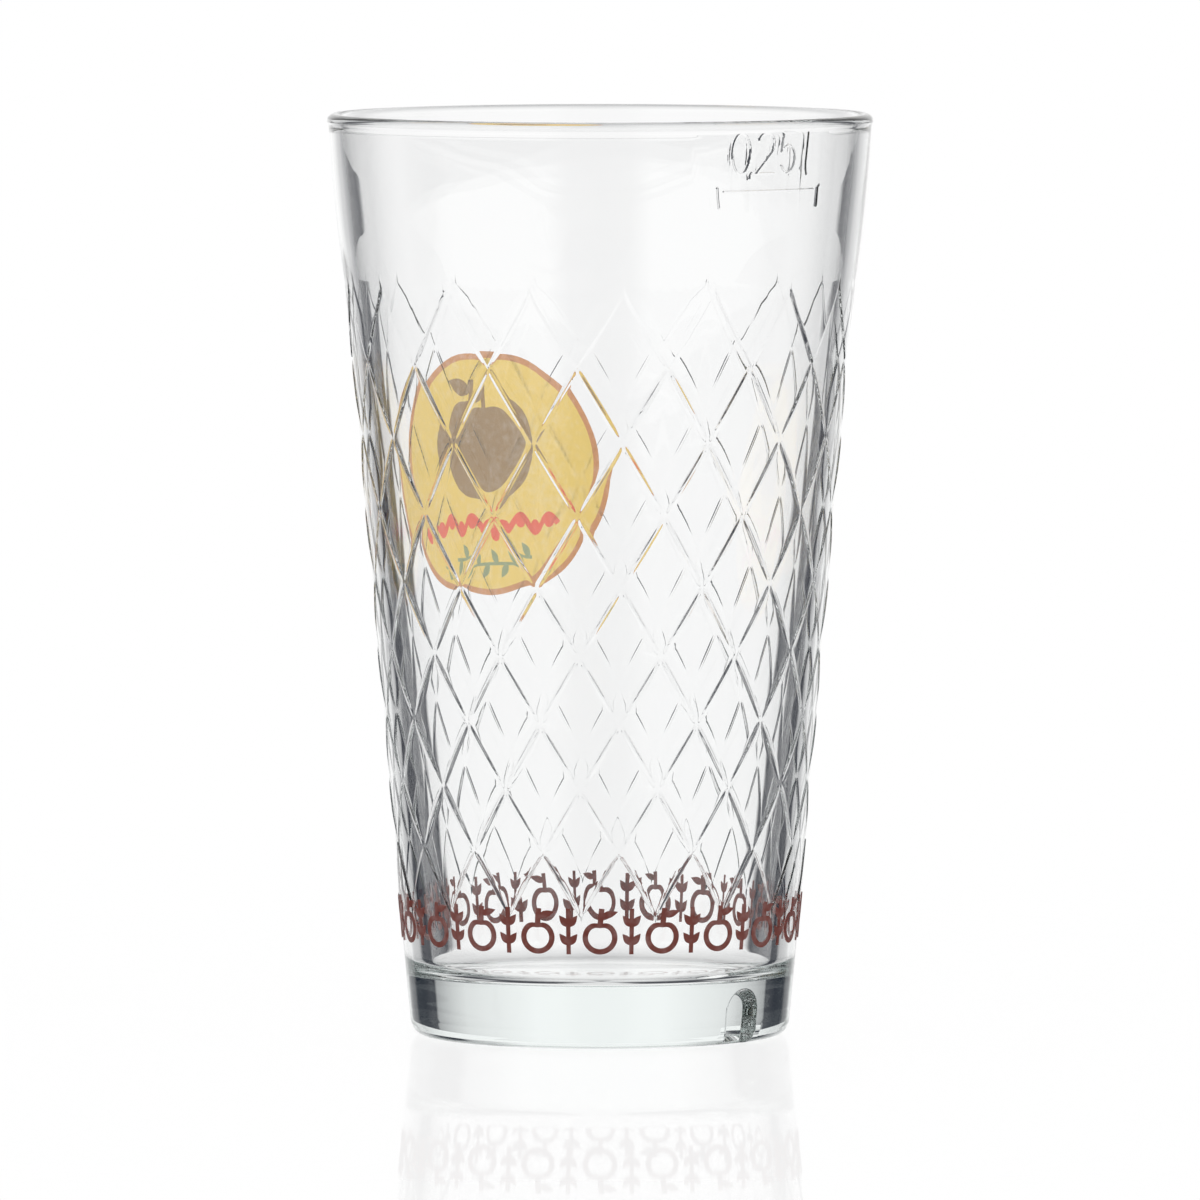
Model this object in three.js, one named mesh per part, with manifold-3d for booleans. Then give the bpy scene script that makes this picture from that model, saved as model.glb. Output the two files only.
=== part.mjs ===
// Ribbed apple wine tumbler, 0.25 l: a pressed glass body with fired enamel prints.
// Millimetres, +Z up, origin at the centre of the resting face, front of the glass towards -Y.
// Angles around the glass start at the front and grow towards +X.

import * as THREE from 'three';
import { mergeGeometries, mergeVertices } from 'three/addons/utils/BufferGeometryUtils.js';
import Module from 'manifold-3d';

const wasm = await Module();
wasm.setup();

// Driving dimensions of the outside: three bands, each of which flares from the one below it
const HEIGHT = 121;
const FOOT_RADIUS = 24.75;
const FOOT_BAND_HEIGHT = 17.4;
const FOOT_FLARE = 1.62;
const RIB_ZONE_FLARE = 7.13;
const RIM_BAND_HEIGHT = 22;
const RIM_FLARE = 2.3;
const RIM_BAND_SWELL = 0.45;
const HEEL_ROUNDING = 1.6;
const LIP_THICKNESS = 1.96;
const LIP_NECK_DROP = 1.9;
const LIP_NECK_INSET = 0.33;

// Driving dimensions of the crossing ribs
const RIB_COLUMNS = 17;
const RIB_ROWS = 9;
const RIB_TURN = THREE.MathUtils.degToRad(5.24);
const FIELD_DEPTH = 0.32;
const RIB_EDGE_SHARE = 0.1;

// Driving dimensions of the inside and the underside
const FLOOR_HEIGHT = 8.1;
const FLOOR_WALL = 3.5;
const FLOOR_FILLET = 2.6;
const LIP_INNER_DROP = 2.2;
const STANDING_RING_WIDTH = 3.95;
const UNDERSIDE_RECESS_DEPTH = 1.1;
const UNDERSIDE_RECESS_SLOPE_WIDTH = 2.2;

// Driving dimensions of the notch in the heel that indexes the glass for printing
const NOTCH_ANGLE = THREE.MathUtils.degToRad(47.8);
const NOTCH_WIDTH = 5.8;
const NOTCH_HEIGHT = 7.3;
const NOTCH_DEPTH = 1.8;

// Driving dimensions of the moulded fill mark
const FILL_LINE_DROP = 9.1;
const FILL_MARK_ANGLE = THREE.MathUtils.degToRad(39.6);
const FILL_LINE_LENGTH = 17.7;
const FILL_LINE_WIDTH = 0.5;
const FILL_TICK_DROP = 2;
const FILL_MARK_RELIEF = 0.25;
const DIGIT_HEIGHT = 5.2;
const DIGIT_WIDTH = 3.05;
const DIGIT_GAP = 0.85;
const DECIMAL_GAP = 1.3;
const UNIT_GAP = 2.5;
const UNIT_HEIGHT = 5.9;
const DIGIT_STROKE = 0.5;
const DIGIT_RISE = 2;
const DIGIT_INDENT = 2.2;

// Driving dimensions of the enamel prints
const PRINT_CLEARANCE = 0.3;
const PRINT_THICKNESS = 0.2;
const PRINT_GAP = 0.3;
const LABEL_ANGLE = THREE.MathUtils.degToRad(211.5);
const LABEL_DROP = 27.4;
const LABEL_WIDTH = 35.5;
const LABEL_HEIGHT = 32.4;
const LABEL_BORDER_WIDTH = 0.9;
const LABEL_STROKE = 0.9;
const LABEL_APPLE_SIDE_CLEARANCE = 10.5;
const LABEL_APPLE_TOP_CLEARANCE = 6.1;
const LABEL_APPLE_BOTTOM_CLEARANCE = 3.9;
const LABEL_STEM_LENGTH = 3.2;
const LABEL_APPLE_LEAF_LENGTH = 6;
const LABEL_APPLE_LEAF_WIDTH = 2.4;
const LABEL_VINE_SIDE_CLEARANCE = 5.75;
const LABEL_VINE_SWING = 1.3;
const LABEL_VINE_WAVES = 4;
const LABEL_BERRY_RADIUS = 0.95;
const LABEL_TWIG_SIDE_CLEARANCE = 11.25;
const LABEL_TWIG_BOTTOM_CLEARANCE = 4.6;
const LABEL_TWIG_TO_VINE = 4.8;
const LABEL_TWIG_LEAVES = 6;
const LABEL_TWIG_LEAF_LENGTH = 2.6;
const LABEL_TWIG_LEAF_WIDTH = 1.3;
const FRIEZE_UNITS = 20;
const FRIEZE_DROP = 4.8;
const FRIEZE_APPLE_WIDTH = 4.5;
const FRIEZE_APPLE_HEIGHT = 4.4;
const FRIEZE_TALL_HEIGHT = 6;
const FRIEZE_STROKE = 0.7;
const FRIEZE_SPRIG_STROKE = 0.56;
const FRIEZE_APPLE_LEAF_LENGTH = 2.3;
const FRIEZE_SPRIG_LEAF_LENGTH = 1.9;
const FRIEZE_LEAF_WIDTH = 0.95;
const FRIEZE_SPRIG_TIERS = 2;
const LEAF_LEAN = THREE.MathUtils.degToRad(52);
const STEM_LEAF_LEAN = THREE.MathUtils.degToRad(17);
const APPLE_DIMPLE = 0.16;
const APPLE_DIMPLE_SPREAD = 0.4;

// Facets along each edge of a rib field, as shares of the edge
const FIELD_STEPS = [0, RIB_EDGE_SHARE, 0.5, 1 - RIB_EDGE_SHARE, 1];
const FIELD_CELLS = FIELD_STEPS.length - 1;
const RING_SEGMENTS = RIB_COLUMNS * FIELD_CELLS;
const ARC_STEPS = 4;

// Facets of round motifs
const LABEL_FACETS = 36;
const LABEL_APPLE_FACETS = 20;
const FRIEZE_APPLE_FACETS = 12;
const BERRY_FACETS = 6;
const DIGIT_FACETS = 12;
const FILL_LINE_STEPS = 8;

const glassMaterial = new THREE.MeshStandardMaterial({
  color: 0xe9eef0, roughness: 0.03, metalness: 0, transparent: true, opacity: 0.45
});
const ochreEnamel = new THREE.MeshStandardMaterial({ color: 0xc9ae5c, roughness: 0.4, metalness: 0 });
const rustEnamel = new THREE.MeshStandardMaterial({ color: 0x7a2a1c, roughness: 0.4, metalness: 0 });
const sepiaEnamel = new THREE.MeshStandardMaterial({ color: 0x6e5a40, roughness: 0.4, metalness: 0 });
const redEnamel = new THREE.MeshStandardMaterial({ color: 0xc23a2a, roughness: 0.4, metalness: 0 });
const greenEnamel = new THREE.MeshStandardMaterial({ color: 0x3f5a3a, roughness: 0.4, metalness: 0 });

// Heights and radii that follow from the bands
const RIB_ZONE_BOTTOM = FOOT_BAND_HEIGHT;
const RIB_ZONE_TOP = HEIGHT - RIM_BAND_HEIGHT;
const RIB_ZONE_BOTTOM_RADIUS = FOOT_RADIUS + FOOT_FLARE;
const RIB_ZONE_TOP_RADIUS = RIB_ZONE_BOTTOM_RADIUS + RIB_ZONE_FLARE;
const RIB_ZONE_TAPER = RIB_ZONE_FLARE / (RIB_ZONE_TOP - RIB_ZONE_BOTTOM);
const LIP_OUTER_RADIUS = RIB_ZONE_TOP_RADIUS + RIM_FLARE;
const LIP_INNER_RADIUS = LIP_OUTER_RADIUS - LIP_THICKNESS;
const LIP_RADIUS = LIP_THICKNESS / 2;
const NECK_RADIUS = LIP_OUTER_RADIUS - LIP_NECK_INSET;
const NECK_HEIGHT = HEIGHT - LIP_NECK_DROP;
const FILL_LINE_HEIGHT = HEIGHT - FILL_LINE_DROP;
const LABEL_CENTRE_HEIGHT = RIB_ZONE_TOP - LABEL_DROP;
const FRIEZE_BASE_HEIGHT = RIB_ZONE_BOTTOM - FRIEZE_DROP;

// Motifs keep their clearances from the label's outline, from the twig at the bottom upwards
const LABEL_TWIG_LENGTH = LABEL_WIDTH - 2 * LABEL_TWIG_SIDE_CLEARANCE;
const LABEL_TWIG_LEVEL = LABEL_TWIG_BOTTOM_CLEARANCE - LABEL_HEIGHT / 2;
const LABEL_VINE_LENGTH = LABEL_WIDTH - 2 * LABEL_VINE_SIDE_CLEARANCE;
const LABEL_VINE_LEVEL = LABEL_TWIG_LEVEL + LABEL_TWIG_TO_VINE;
const LABEL_APPLE_WIDTH = LABEL_WIDTH - 2 * LABEL_APPLE_SIDE_CLEARANCE;
const LABEL_APPLE_BOTTOM = LABEL_VINE_LEVEL + LABEL_APPLE_BOTTOM_CLEARANCE;
const LABEL_APPLE_HEIGHT = LABEL_HEIGHT / 2 - LABEL_APPLE_TOP_CLEARANCE - LABEL_APPLE_BOTTOM;

// Ribs keep one lean on the cone, so each row's radius is the same share of the row's above it
const COLUMN_ANGLE = 2 * Math.PI / RIB_COLUMNS;
const ROW_SHRINK = Math.log(RIB_ZONE_TOP_RADIUS / RIB_ZONE_BOTTOM_RADIUS) / RIB_ROWS;

function ribRowRadius(row) {
  return RIB_ZONE_TOP_RADIUS * Math.exp(-ROW_SHRINK * row);
}

function ribRowHeight(row) {
  return RIB_ZONE_TOP - (RIB_ZONE_TOP_RADIUS - ribRowRadius(row)) / RIB_ZONE_TAPER;
}

const rimBandCurve = new THREE.QuadraticBezierCurve(
  new THREE.Vector2(RIB_ZONE_TOP_RADIUS, RIB_ZONE_TOP),
  new THREE.Vector2(
    (RIB_ZONE_TOP_RADIUS + NECK_RADIUS) / 2 + RIM_BAND_SWELL,
    (RIB_ZONE_TOP + NECK_HEIGHT) / 2
  ),
  new THREE.Vector2(NECK_RADIUS, NECK_HEIGHT)
);

// Radius of the outer envelope, which the rib crests touch, at a height
function outerRadius(height) {
  if (height < RIB_ZONE_BOTTOM) {
    return THREE.MathUtils.lerp(FOOT_RADIUS, RIB_ZONE_BOTTOM_RADIUS, height / RIB_ZONE_BOTTOM);
  }
  if (height < RIB_ZONE_TOP) {
    return RIB_ZONE_TOP_RADIUS - RIB_ZONE_TAPER * (RIB_ZONE_TOP - height);
  }
  const share = Math.min(1, (height - RIB_ZONE_TOP) / (NECK_HEIGHT - RIB_ZONE_TOP));
  return rimBandCurve.getPoint(share).x;
}

function arcPoints(centreX, centreY, radius, fromDegrees, toDegrees) {
  const points = [];
  for (let step = 0; step <= ARC_STEPS; step += 1) {
    const angle = THREE.MathUtils.degToRad(THREE.MathUtils.lerp(fromDegrees, toDegrees, step / ARC_STEPS));
    points.push(new THREE.Vector2(centreX + radius * Math.cos(angle), centreY + radius * Math.sin(angle)));
  }
  return points;
}

const FLOOR_RADIUS = outerRadius(FLOOR_HEIGHT) - FLOOR_WALL;

// Profiles run upwards on the outside, so that the lathe's faces point out
function upperProfile() {
  const lip = arcPoints(LIP_OUTER_RADIUS - LIP_RADIUS, HEIGHT - LIP_RADIUS, LIP_RADIUS, 0, 180);
  const wallSlope = (LIP_INNER_RADIUS - FLOOR_RADIUS) / (HEIGHT - LIP_INNER_DROP - FLOOR_HEIGHT);
  const filletX = FLOOR_RADIUS - FLOOR_FILLET * (1 - wallSlope);
  const fillet = arcPoints(filletX, FLOOR_HEIGHT + FLOOR_FILLET, FLOOR_FILLET, 0, -90);
  return [
    ...rimBandCurve.getPoints(ARC_STEPS),
    ...lip,
    new THREE.Vector2(LIP_INNER_RADIUS, HEIGHT - LIP_INNER_DROP),
    ...fillet,
    new THREE.Vector2(0, FLOOR_HEIGHT)
  ];
}

function lowerProfile() {
  const heelX = FOOT_RADIUS - HEEL_ROUNDING;
  const recessX = heelX - STANDING_RING_WIDTH;
  return [
    new THREE.Vector2(0, UNDERSIDE_RECESS_DEPTH),
    new THREE.Vector2(recessX - UNDERSIDE_RECESS_SLOPE_WIDTH, UNDERSIDE_RECESS_DEPTH),
    new THREE.Vector2(recessX, 0),
    ...arcPoints(heelX, HEEL_ROUNDING, HEEL_ROUNDING, -90, 0),
    new THREE.Vector2(RIB_ZONE_BOTTOM_RADIUS, RIB_ZONE_BOTTOM)
  ];
}

function placeOnGlass(position, index, column, radius, height) {
  const angle = RIB_TURN + column * COLUMN_ANGLE;
  position.setXYZ(index, radius * Math.sin(angle), -radius * Math.cos(angle), height);
}

// Turned part whose facets end on the same points as the rib fields beside it
function turnedBand(profile, columnOffset) {
  const geometry = new THREE.LatheGeometry(profile, RING_SEGMENTS);
  const position = geometry.attributes.position;
  for (let index = 0; index < position.count; index += 1) {
    const ring = Math.floor(index / profile.length) % RING_SEGMENTS;
    const point = profile[index % profile.length];
    const column = Math.floor(ring / FIELD_CELLS) + FIELD_STEPS[ring % FIELD_CELLS];
    placeOnGlass(position, index, column + columnOffset, point.x, point.y);
  }
  return geometry;
}

// Depth of a field under the envelope; shares run along its two rib directions
function fieldDepth(shareA, shareB) {
  return FIELD_DEPTH * 16 * shareA * (1 - shareA) * shareB * (1 - shareB);
}

// One lozenge between four ribs; the top and bottom rows are smooth half lozenges
function ribField(column, row) {
  const geometry = new THREE.PlaneGeometry(1, 1, FIELD_CELLS, FIELD_CELLS);
  const position = geometry.attributes.position;
  const smooth = row === 0 || row === RIB_ROWS;
  for (let index = 0; index < position.count; index += 1) {
    const shareA = FIELD_STEPS[index % FIELD_STEPS.length];
    const shareB = FIELD_STEPS[Math.floor(index / FIELD_STEPS.length)];
    const rowPlace = row + shareA + shareB - 1;
    const radius = ribRowRadius(rowPlace) - (smooth ? 0 : fieldDepth(shareA, shareB));
    const columnPlace = column + (shareA - shareB) / 2;
    placeOnGlass(position, index, columnPlace, radius, ribRowHeight(rowPlace));
  }
  const index = geometry.index.array;
  const corners = [new THREE.Vector3(), new THREE.Vector3(), new THREE.Vector3()];
  const kept = [];
  for (let face = 0; face < index.length; face += 3) {
    corners.forEach((corner, i) => corner.fromBufferAttribute(position, index[face + i]));
    const middle = (corners[0].z + corners[1].z + corners[2].z) / 3;
    if (middle < RIB_ZONE_TOP && middle > RIB_ZONE_BOTTOM) {
      kept.push(index[face], index[face + 1], index[face + 2]);
    }
  }
  geometry.setIndex(kept);
  return geometry;
}

function ribbedZone() {
  const fields = [];
  for (let row = 0; row <= RIB_ROWS; row += 1) {
    for (let column = 0; column < RIB_COLUMNS; column += 1) {
      fields.push(ribField(column + (row % 2 === 0 ? 0.5 : 0), row));
    }
  }
  return fields;
}

// Joins shared corners and drops the faces that closed up at the axis
function weld(geometry) {
  geometry.deleteAttribute('normal');
  geometry.deleteAttribute('uv');
  const welded = mergeVertices(geometry);
  const index = welded.index.array;
  const kept = [];
  for (let face = 0; face < index.length; face += 3) {
    const [a, b, c] = [index[face], index[face + 1], index[face + 2]];
    if (a !== b && b !== c && c !== a) {
      kept.push(a, b, c);
    }
  }
  welded.setIndex(kept);
  return welded;
}

function toSolid(geometry) {
  const welded = weld(geometry);
  return new wasm.Manifold(new wasm.Mesh({
    numProp: 3,
    vertProperties: new Float32Array(welded.attributes.position.array),
    triVerts: new Uint32Array(welded.index.array)
  }));
}

function toGeometry(solid) {
  const mesh = solid.getMesh();
  const geometry = new THREE.BufferGeometry();
  geometry.setAttribute('position', new THREE.BufferAttribute(mesh.vertProperties, 3));
  geometry.setIndex(new THREE.BufferAttribute(mesh.triVerts, 1));
  geometry.computeVertexNormals();
  return geometry;
}

// Closed ring that follows the outer envelope between two heights and two distances from it
function wallShell(heights, innerOffset, outerOffset) {
  const outer = heights.map((height) => new THREE.Vector2(outerRadius(height) + outerOffset, height));
  const inner = heights.map((height) => new THREE.Vector2(outerRadius(height) + innerOffset, height));
  const profile = [inner[0], ...outer, ...inner.reverse()];
  const geometry = new THREE.LatheGeometry(profile, RING_SEGMENTS);
  return toSolid(geometry.rotateX(Math.PI / 2));
}

// Flat outline wrapped on the wall: widths are measured along the wall, as on a printed sheet
function wallPrism(shape, angle, centreHeight) {
  const wallRadius = outerRadius(centreHeight);
  const wrap = (points) => points.map((point) => (
    new THREE.Vector2(wallRadius * Math.sin(point.x / wallRadius), point.y)
  ));
  const { shape: outline, holes } = shape.extractPoints(ARC_STEPS);
  const wrapped = new THREE.Shape(wrap(outline));
  wrapped.holes = holes.map((hole) => new THREE.Path(wrap(hole)));
  const geometry = new THREE.ExtrudeGeometry(wrapped, { depth: LIP_OUTER_RADIUS + 1, bevelEnabled: false });
  geometry.rotateX(Math.PI / 2).translate(0, 0, centreHeight).rotateZ(angle);
  return toSolid(geometry);
}

function joined(solids) {
  return solids.reduce((whole, solid) => whole.add(solid));
}

function wallPrisms(shapes, angle, centreHeight) {
  return joined(shapes.map((shape) => wallPrism(shape, angle, centreHeight)));
}

// Narrow flat motifs joined, then bent around the wall with their outlines on it
function bentMotif(shapes, angle, baseHeight, innerOffset, thickness) {
  const extrusion = { depth: thickness, bevelEnabled: false };
  const flat = joined(shapes.map((shape) => toSolid(new THREE.ExtrudeGeometry(shape, extrusion))));
  const geometry = toGeometry(flat);
  const position = geometry.attributes.position;
  for (let index = 0; index < position.count; index += 1) {
    const height = baseHeight + position.getY(index);
    const wallRadius = outerRadius(height);
    const turn = angle + position.getX(index) / outerRadius(baseHeight);
    const radius = wallRadius + innerOffset + position.getZ(index);
    position.setXYZ(index, radius * Math.sin(turn), -radius * Math.cos(turn), height);
  }
  geometry.computeVertexNormals();
  return geometry;
}

// Outline of a line of even width through the points
function strokeShape(points, width) {
  const left = [];
  const right = [];
  points.forEach((point, i) => {
    const before = points[Math.max(i - 1, 0)];
    const after = points[Math.min(i + 1, points.length - 1)];
    const into = point.clone().sub(i > 0 ? before : point).normalize();
    const out = after.clone().sub(point).normalize();
    const direction = into.clone().add(out).normalize();
    const reach = width / 2 / Math.max(0.6, direction.dot(i > 0 ? into : out));
    const side = new THREE.Vector2(-direction.y, direction.x).multiplyScalar(reach);
    left.push(point.clone().add(side));
    right.unshift(point.clone().sub(side));
  });
  return new THREE.Shape([...right, ...left]);
}

function moved(shape, x, y, turn = 0) {
  const origin = new THREE.Vector2();
  const place = (points) => points.map((point) => (
    point.clone().rotateAround(origin, turn).add(new THREE.Vector2(x, y))
  ));
  const { shape: outline, holes } = shape.extractPoints(ARC_STEPS);
  const result = new THREE.Shape(place(outline));
  result.holes = holes.map((hole) => new THREE.Path(place(hole)));
  return result;
}

// Round apple with a dimple at the top, centred on the origin
function applePoints(width, height, count) {
  const points = [];
  for (let i = 0; i < count; i += 1) {
    const angle = 2 * Math.PI * (i + 0.5) / count;
    const fromTop = Math.atan2(Math.cos(angle), Math.sin(angle));
    const swell = 1 - APPLE_DIMPLE * Math.exp(-((fromTop / APPLE_DIMPLE_SPREAD) ** 2));
    points.push(new THREE.Vector2(
      width / 2 * swell * Math.cos(angle),
      height / 2 * swell * Math.sin(angle)
    ));
  }
  return points;
}

// Pointed leaf that starts at the origin and runs along +X
function leafShape(length, width) {
  const shape = new THREE.Shape();
  shape.moveTo(0, 0);
  shape.lineTo(length / 3, -width / 2);
  shape.lineTo(length, 0);
  shape.lineTo(length / 3, width / 2);
  shape.closePath();
  return shape;
}

function archShape(width, height) {
  const radius = width / 2;
  const shape = new THREE.Shape();
  shape.moveTo(-radius, -radius);
  shape.lineTo(radius, -radius);
  shape.lineTo(radius, height - radius);
  shape.absarc(0, height - radius, radius, 0, Math.PI, false);
  return shape;
}

function ovalPoints(width, height, facets) {
  const ellipse = new THREE.EllipseCurve(0, 0, width / 2, height / 2);
  return ellipse.getPoints(facets).slice(0, facets);
}

function ringShape(width, height, stroke, facets) {
  const shape = new THREE.Shape(ovalPoints(width, height, facets));
  shape.holes.push(new THREE.Path(ovalPoints(width - 2 * stroke, height - 2 * stroke, facets)));
  return shape;
}

function path(...pairs) {
  return pairs.map(([x, y]) => new THREE.Vector2(x, y));
}

// Moulded numerals, each with its lower left corner at the origin
function zeroShape() {
  const ring = ringShape(DIGIT_WIDTH, DIGIT_HEIGHT, DIGIT_STROKE, DIGIT_FACETS);
  return moved(ring, DIGIT_WIDTH / 2, DIGIT_HEIGHT / 2);
}

function twoShape() {
  const inset = DIGIT_STROKE / 2;
  const radius = DIGIT_WIDTH / 2 - inset;
  const bowl = arcPoints(DIGIT_WIDTH / 2, DIGIT_HEIGHT - inset - radius, radius, 165, -35);
  return strokeShape([...bowl, ...path([inset, inset], [DIGIT_WIDTH, inset])], DIGIT_STROKE);
}

function fiveShape() {
  const inset = DIGIT_STROKE / 2;
  const radius = DIGIT_WIDTH / 2 - inset;
  const bowl = arcPoints(DIGIT_WIDTH / 2, inset + radius, radius, 120, -145);
  const flag = path([DIGIT_WIDTH, DIGIT_HEIGHT - inset], [2 * inset, DIGIT_HEIGHT - inset]);
  return strokeShape([...flag, ...bowl], DIGIT_STROKE);
}

function commaShape() {
  return strokeShape(path([DIGIT_STROKE, DIGIT_STROKE], [0, -DIGIT_STROKE]), DIGIT_STROKE);
}

function litreShape() {
  return strokeShape(path([0, -DIGIT_STROKE], [0, UNIT_HEIGHT]), DIGIT_STROKE);
}

// Line to fill to, with a tick at each end and the capacity above it, standing proud of the wall
function fillMark() {
  const half = FILL_LINE_LENGTH / 2;
  const line = [];
  for (let step = 0; step <= FILL_LINE_STEPS; step += 1) {
    line.push(new THREE.Vector2(FILL_LINE_LENGTH * step / FILL_LINE_STEPS - half, 0));
  }
  const ends = [new THREE.Vector2(-half, -FILL_TICK_DROP), new THREE.Vector2(half, -FILL_TICK_DROP)];
  const zeroX = DIGIT_INDENT - half;
  const twoX = zeroX + DIGIT_WIDTH + DECIMAL_GAP;
  const fiveX = twoX + DIGIT_WIDTH + DIGIT_GAP;
  const shapes = [
    strokeShape([ends[0], ...line, ends[1]], FILL_LINE_WIDTH),
    moved(zeroShape(), zeroX, DIGIT_RISE),
    moved(commaShape(), zeroX + DIGIT_WIDTH + DECIMAL_GAP / 3, DIGIT_RISE),
    moved(twoShape(), twoX, DIGIT_RISE),
    moved(fiveShape(), fiveX, DIGIT_RISE),
    moved(litreShape(), fiveX + DIGIT_WIDTH + UNIT_GAP, DIGIT_RISE)
  ];
  const relief = 2 * FILL_MARK_RELIEF;
  return toSolid(bentMotif(shapes, FILL_MARK_ANGLE, FILL_LINE_HEIGHT, -FILL_MARK_RELIEF, relief));
}

function heelNotch() {
  const shape = archShape(NOTCH_WIDTH, NOTCH_HEIGHT);
  const extrusion = { depth: LIP_OUTER_RADIUS, bevelEnabled: false, curveSegments: ARC_STEPS };
  const geometry = new THREE.ExtrudeGeometry(shape, extrusion);
  geometry.rotateX(Math.PI / 2).translate(0, NOTCH_DEPTH - FOOT_RADIUS, 0).rotateZ(NOTCH_ANGLE);
  return toSolid(geometry);
}

function glassBody() {
  const surfaces = [
    turnedBand(upperProfile(), 0),
    ...ribbedZone(),
    turnedBand(lowerProfile(), RIB_ROWS % 2 / 2)
  ];
  return toSolid(mergeGeometries(surfaces)).subtract(heelNotch()).add(fillMark());
}

// Stem and leaf on top of an apple that is centred on the origin
function stemAndLeaf(crown, stemLength, stroke, leafLength, leafWidth, grow) {
  const foot = crown - stroke;
  const stem = strokeShape(path([0, foot], [stroke / 3, crown + stemLength + grow]), stroke + 2 * grow);
  const leaf = leafShape(leafLength + 2 * grow, leafWidth + 2 * grow);
  return [stem, moved(leaf, stroke / 4 - grow, crown + stemLength / 2 - grow / 2, STEM_LEAF_LEAN)];
}

// Label motifs; grow widens a motif to the opening that the ground leaves for it
function labelOval(inset) {
  return new THREE.Shape(ovalPoints(LABEL_WIDTH - 2 * inset, LABEL_HEIGHT - 2 * inset, LABEL_FACETS));
}

function labelApple(grow) {
  const width = LABEL_APPLE_WIDTH + 2 * grow;
  const height = LABEL_APPLE_HEIGHT + 2 * grow;
  const crown = LABEL_APPLE_HEIGHT / 2 * (1 - APPLE_DIMPLE);
  const shapes = [
    new THREE.Shape(applePoints(width, height, LABEL_APPLE_FACETS)),
    ...stemAndLeaf(
      crown, LABEL_STEM_LENGTH, LABEL_STROKE, LABEL_APPLE_LEAF_LENGTH, LABEL_APPLE_LEAF_WIDTH, grow
    )
  ];
  return shapes.map((shape) => moved(shape, 0, LABEL_APPLE_BOTTOM + LABEL_APPLE_HEIGHT / 2));
}

function vinePoint(share) {
  const x = (share - 0.5) * LABEL_VINE_LENGTH;
  const y = LABEL_VINE_LEVEL + LABEL_VINE_SWING * Math.sin(2 * Math.PI * LABEL_VINE_WAVES * share);
  return new THREE.Vector2(x, y);
}

function labelVine(grow) {
  const steps = LABEL_VINE_WAVES * 4;
  const line = [];
  for (let step = 0; step <= steps; step += 1) {
    line.push(vinePoint(step / steps));
  }
  const shapes = [strokeShape(line, LABEL_STROKE + 2 * grow)];
  for (let crest = 0; crest < 2 * LABEL_VINE_WAVES; crest += 1) {
    const point = vinePoint((crest + 0.5) / 2 / LABEL_VINE_WAVES);
    const side = crest % 2 === 0 ? -1 : 1;
    const berrySize = 2 * (LABEL_BERRY_RADIUS + grow);
    const berry = new THREE.Shape(ovalPoints(berrySize, berrySize, BERRY_FACETS));
    shapes.push(moved(berry, point.x, point.y + side * LABEL_BERRY_RADIUS));
  }
  return shapes;
}

function labelTwig(grow) {
  const half = LABEL_TWIG_LENGTH / 2;
  const line = path([-half - grow, LABEL_TWIG_LEVEL], [half + grow, LABEL_TWIG_LEVEL]);
  const shapes = [strokeShape(line, LABEL_STROKE / 2 + 2 * grow)];
  for (let i = 0; i < LABEL_TWIG_LEAVES; i += 1) {
    const x = LABEL_TWIG_LENGTH * ((i + 0.5) / LABEL_TWIG_LEAVES - 0.5) - LABEL_TWIG_LEAF_LENGTH / 4;
    const lean = i % 2 === 0 ? LEAF_LEAN : -LEAF_LEAN;
    const leaf = leafShape(LABEL_TWIG_LEAF_LENGTH + 2 * grow, LABEL_TWIG_LEAF_WIDTH + 2 * grow);
    shapes.push(moved(leaf, x, LABEL_TWIG_LEVEL, lean));
  }
  return shapes;
}

function friezeApple() {
  const hole = 2 * FRIEZE_STROKE;
  const body = new THREE.Shape(applePoints(FRIEZE_APPLE_WIDTH, FRIEZE_APPLE_HEIGHT, FRIEZE_APPLE_FACETS));
  const opening = applePoints(FRIEZE_APPLE_WIDTH - hole, FRIEZE_APPLE_HEIGHT - hole, FRIEZE_APPLE_FACETS);
  body.holes.push(new THREE.Path(opening));
  const crown = FRIEZE_APPLE_HEIGHT / 2 * (1 - APPLE_DIMPLE);
  const stemLength = FRIEZE_TALL_HEIGHT - FRIEZE_APPLE_HEIGHT / 2 - crown;
  const shapes = [
    body,
    ...stemAndLeaf(crown, stemLength, FRIEZE_STROKE, FRIEZE_APPLE_LEAF_LENGTH, FRIEZE_LEAF_WIDTH, 0)
  ];
  return shapes.map((shape) => moved(shape, 0, FRIEZE_APPLE_HEIGHT / 2));
}

function friezeSprig() {
  const shapes = [strokeShape(path([0, 0], [0, FRIEZE_TALL_HEIGHT]), FRIEZE_SPRIG_STROKE)];
  const tier = FRIEZE_TALL_HEIGHT / (FRIEZE_SPRIG_TIERS + 0.5);
  for (let i = 0; i < FRIEZE_SPRIG_TIERS; i += 1) {
    const leaf = leafShape(FRIEZE_SPRIG_LEAF_LENGTH, FRIEZE_LEAF_WIDTH);
    shapes.push(moved(leaf, 0, tier * (i + 0.5), LEAF_LEAN));
    shapes.push(moved(leaf, 0, tier * (i + 0.5), Math.PI - LEAF_LEAN));
  }
  return shapes;
}

const part = new THREE.Group();

function addPiece(name, geometry, material) {
  const mesh = new THREE.Mesh(geometry, material);
  mesh.name = name;
  part.add(mesh);
}

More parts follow.
